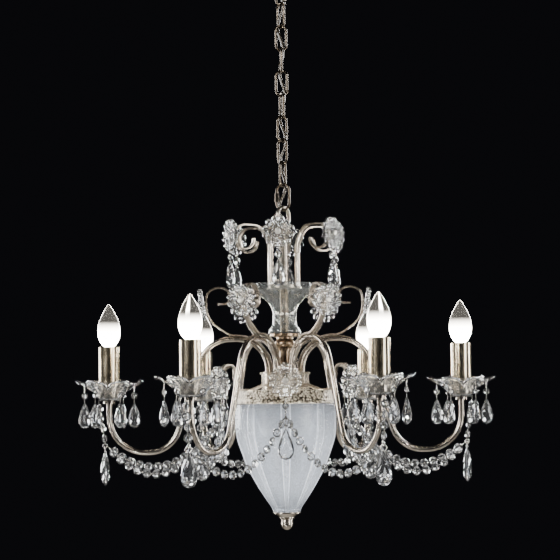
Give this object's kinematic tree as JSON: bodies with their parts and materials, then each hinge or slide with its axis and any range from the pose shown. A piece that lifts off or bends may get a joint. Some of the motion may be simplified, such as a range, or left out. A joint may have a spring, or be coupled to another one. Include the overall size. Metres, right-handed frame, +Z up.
{
  "type": "crystal chandelier",
  "caption": "Hanging crystal chandelier with scrolled arms, candle lamps on glass dishes, bead swags and a ribbed glass bowl, on a chain from a ceiling rose.",
  "frame": {"origin": "centre of the ceiling plate's two screw holes, on the ceiling face", "axes": "+Z up into the ceiling; arm 1 points along +X; the fitting hangs towards -Z"},
  "size_m": [0.644, 0.5578, 0.9415],
  "materials": {
    "ceiling_steel": "zinc-plated pressed steel",
    "antique_silver": "satin antique silver plate",
    "champagne_silver": "satin champagne plate, vertical brushing",
    "bronze_tube": "dull antique bronze plate",
    "chain_metal": "satin antique silver plate on steel wire",
    "cable_sheath": "clear-silver flexible cable",
    "clear_crystal": "clear cut crystal",
    "vase_glass": "milky clear moulded glass",
    "bowl_glass": "softly frosted ribbed glass",
    "lamp_glass": "clear lamp glass, lit",
    "holder_plastic": "ivory phenolic",
    "steel_wire": "bright wire"
  },
  "bodies": {
    "ceiling": {"ceiling_bracket": "ceiling_steel", "ceiling_nipple": "ceiling_steel", "canopy_cover": "antique_silver", "canopy_loop": "antique_silver", "cable_upper": "cable_sheath"},
    "top_link": {"chain_link_top": "chain_metal", "cable_middle": "cable_sheath"},
    "fitting": {"arm_1": "antique_silver", "arm_2": "antique_silver", "arm_3": "antique_silver", "arm_4": "antique_silver", "arm_5": "antique_silver", "arm_6": "antique_silver", "arm_scrolls": "antique_silver", "bobeche_drops": "clear_crystal", "bobeches": "clear_crystal", "bowl_cap": "antique_silver", "bowl_drops": "clear_crystal", "bowl_glass": "bowl_glass", "bowl_lamps": "lamp_glass", "cable_lower": "cable_sheath", "candle_cups": "antique_silver", "candle_sleeves": "champagne_silver", "chain_links": "chain_metal", "crown_plate": "antique_silver", "crown_scrolls": "antique_silver", "gallery_ring": "antique_silver", "gallery_scrolls": "antique_silver", "garland_beads": "clear_crystal", "glass_vase": "vase_glass", "hub_drum": "antique_silver", "hub_lid": "antique_silver", "lampholders": "holder_plastic", "quick_link": "chain_metal", "rosette_bolts": "steel_wire", "rosettes": "clear_crystal", "stem_rod": "antique_silver", "stem_tubes": "bronze_tube", "top_loop": "antique_silver", "trim_wires": "steel_wire", "turned_spacer": "bronze_tube"},
    "finial": {"finial": "antique_silver"},
    "bulb_1": {"bulb_1": "lamp_glass"},
    "crown_drop_1": {"crown_drop_1": "clear_crystal"},
    "arm_drop_1": {"arm_drop_1": "clear_crystal"},
    "bulb_2": {"bulb_2": "lamp_glass"},
    "crown_drop_2": {"crown_drop_2": "clear_crystal"},
    "arm_drop_2": {"arm_drop_2": "clear_crystal"},
    "bulb_3": {"bulb_3": "lamp_glass"},
    "crown_drop_3": {"crown_drop_3": "clear_crystal"},
    "arm_drop_3": {"arm_drop_3": "clear_crystal"},
    "bulb_4": {"bulb_4": "lamp_glass"},
    "crown_drop_4": {"crown_drop_4": "clear_crystal"},
    "arm_drop_4": {"arm_drop_4": "clear_crystal"},
    "bulb_5": {"bulb_5": "lamp_glass"},
    "crown_drop_5": {"crown_drop_5": "clear_crystal"},
    "arm_drop_5": {"arm_drop_5": "clear_crystal"},
    "bulb_6": {"bulb_6": "lamp_glass"},
    "crown_drop_6": {"crown_drop_6": "clear_crystal"},
    "arm_drop_6": {"arm_drop_6": "clear_crystal"}
  },
  "joints": [
    {"name": "upper_swing", "type": "hinge", "parent": "ceiling", "child": "top_link", "pos_m": [0, 0, -0.0969], "axis": [-0.5736, 0.8191, 0], "range_deg": [-10, 10]},
    {"name": "lower_swing", "type": "hinge", "parent": "top_link", "child": "fitting", "pos_m": [0, 0, -0.1316], "axis": [0.8191, 0.5736, 0], "range_deg": [-10, 10]},
    {"name": "finial_turn", "type": "hinge", "parent": "fitting", "child": "finial", "pos_m": [0, 0, -0.93], "axis": [0, 0, 1], "continuous": true},
    {"name": "bulb_1_lift", "type": "slide", "parent": "fitting", "child": "bulb_1", "axis": [0, 0, 1], "range_m": [0, 0.03]},
    {"name": "crown_drop_1_swing", "type": "hinge", "parent": "fitting", "child": "crown_drop_1", "pos_m": [0.0813, 0.03791, -0.5176], "axis": [-0.4226, 0.9063, 0], "range_deg": [-25, 25]},
    {"name": "arm_drop_1_swing", "type": "hinge", "parent": "fitting", "child": "arm_drop_1", "pos_m": [0.277, 0, -0.8128], "axis": [1, 0, 0], "range_deg": [-20, 20]},
    {"name": "bulb_2_lift", "type": "slide", "parent": "fitting", "child": "bulb_2", "axis": [0, 0, 1], "range_m": [0, 0.03]},
    {"name": "crown_drop_2_swing", "type": "hinge", "parent": "fitting", "child": "crown_drop_2", "pos_m": [0.00782, 0.08936, -0.5176], "axis": [-0.9962, 0.0872, 0], "range_deg": [-25, 25]},
    {"name": "arm_drop_2_swing", "type": "hinge", "parent": "fitting", "child": "arm_drop_2", "pos_m": [0.1385, 0.23989, -0.8128], "axis": [0.5, 0.866, 0], "range_deg": [-20, 20]},
    {"name": "bulb_3_lift", "type": "slide", "parent": "fitting", "child": "bulb_3", "axis": [0, 0, 1], "range_m": [0, 0.03]},
    {"name": "crown_drop_3_swing", "type": "hinge", "parent": "fitting", "child": "crown_drop_3", "pos_m": [-0.07348, 0.05145, -0.5176], "axis": [-0.5736, -0.8191, 0], "range_deg": [-25, 25]},
    {"name": "arm_drop_3_swing", "type": "hinge", "parent": "fitting", "child": "arm_drop_3", "pos_m": [-0.1385, 0.23989, -0.8128], "axis": [-0.5, 0.866, 0], "range_deg": [-20, 20]},
    {"name": "bulb_4_lift", "type": "slide", "parent": "fitting", "child": "bulb_4", "axis": [0, 0, 1], "range_m": [0, 0.03]},
    {"name": "crown_drop_4_swing", "type": "hinge", "parent": "fitting", "child": "crown_drop_4", "pos_m": [-0.0813, -0.03791, -0.5176], "axis": [0.4226, -0.9063, 0], "range_deg": [-25, 25]},
    {"name": "arm_drop_4_swing", "type": "hinge", "parent": "fitting", "child": "arm_drop_4", "pos_m": [-0.277, 0, -0.8128], "axis": [-1, 0, 0], "range_deg": [-20, 20]},
    {"name": "bulb_5_lift", "type": "slide", "parent": "fitting", "child": "bulb_5", "axis": [0, 0, 1], "range_m": [0, 0.03]},
    {"name": "crown_drop_5_swing", "type": "hinge", "parent": "fitting", "child": "crown_drop_5", "pos_m": [-0.00782, -0.08936, -0.5176], "axis": [0.9962, -0.0872, 0], "range_deg": [-25, 25]},
    {"name": "arm_drop_5_swing", "type": "hinge", "parent": "fitting", "child": "arm_drop_5", "pos_m": [-0.1385, -0.23989, -0.8128], "axis": [-0.5, -0.866, 0], "range_deg": [-20, 20]},
    {"name": "bulb_6_lift", "type": "slide", "parent": "fitting", "child": "bulb_6", "axis": [0, 0, 1], "range_m": [0, 0.03]},
    {"name": "crown_drop_6_swing", "type": "hinge", "parent": "fitting", "child": "crown_drop_6", "pos_m": [0.07348, -0.05145, -0.5176], "axis": [0.5736, 0.8191, 0], "range_deg": [-25, 25]},
    {"name": "arm_drop_6_swing", "type": "hinge", "parent": "fitting", "child": "arm_drop_6", "pos_m": [0.1385, -0.23989, -0.8128], "axis": [0.5, -0.866, 0], "range_deg": [-20, 20]}
  ]
}
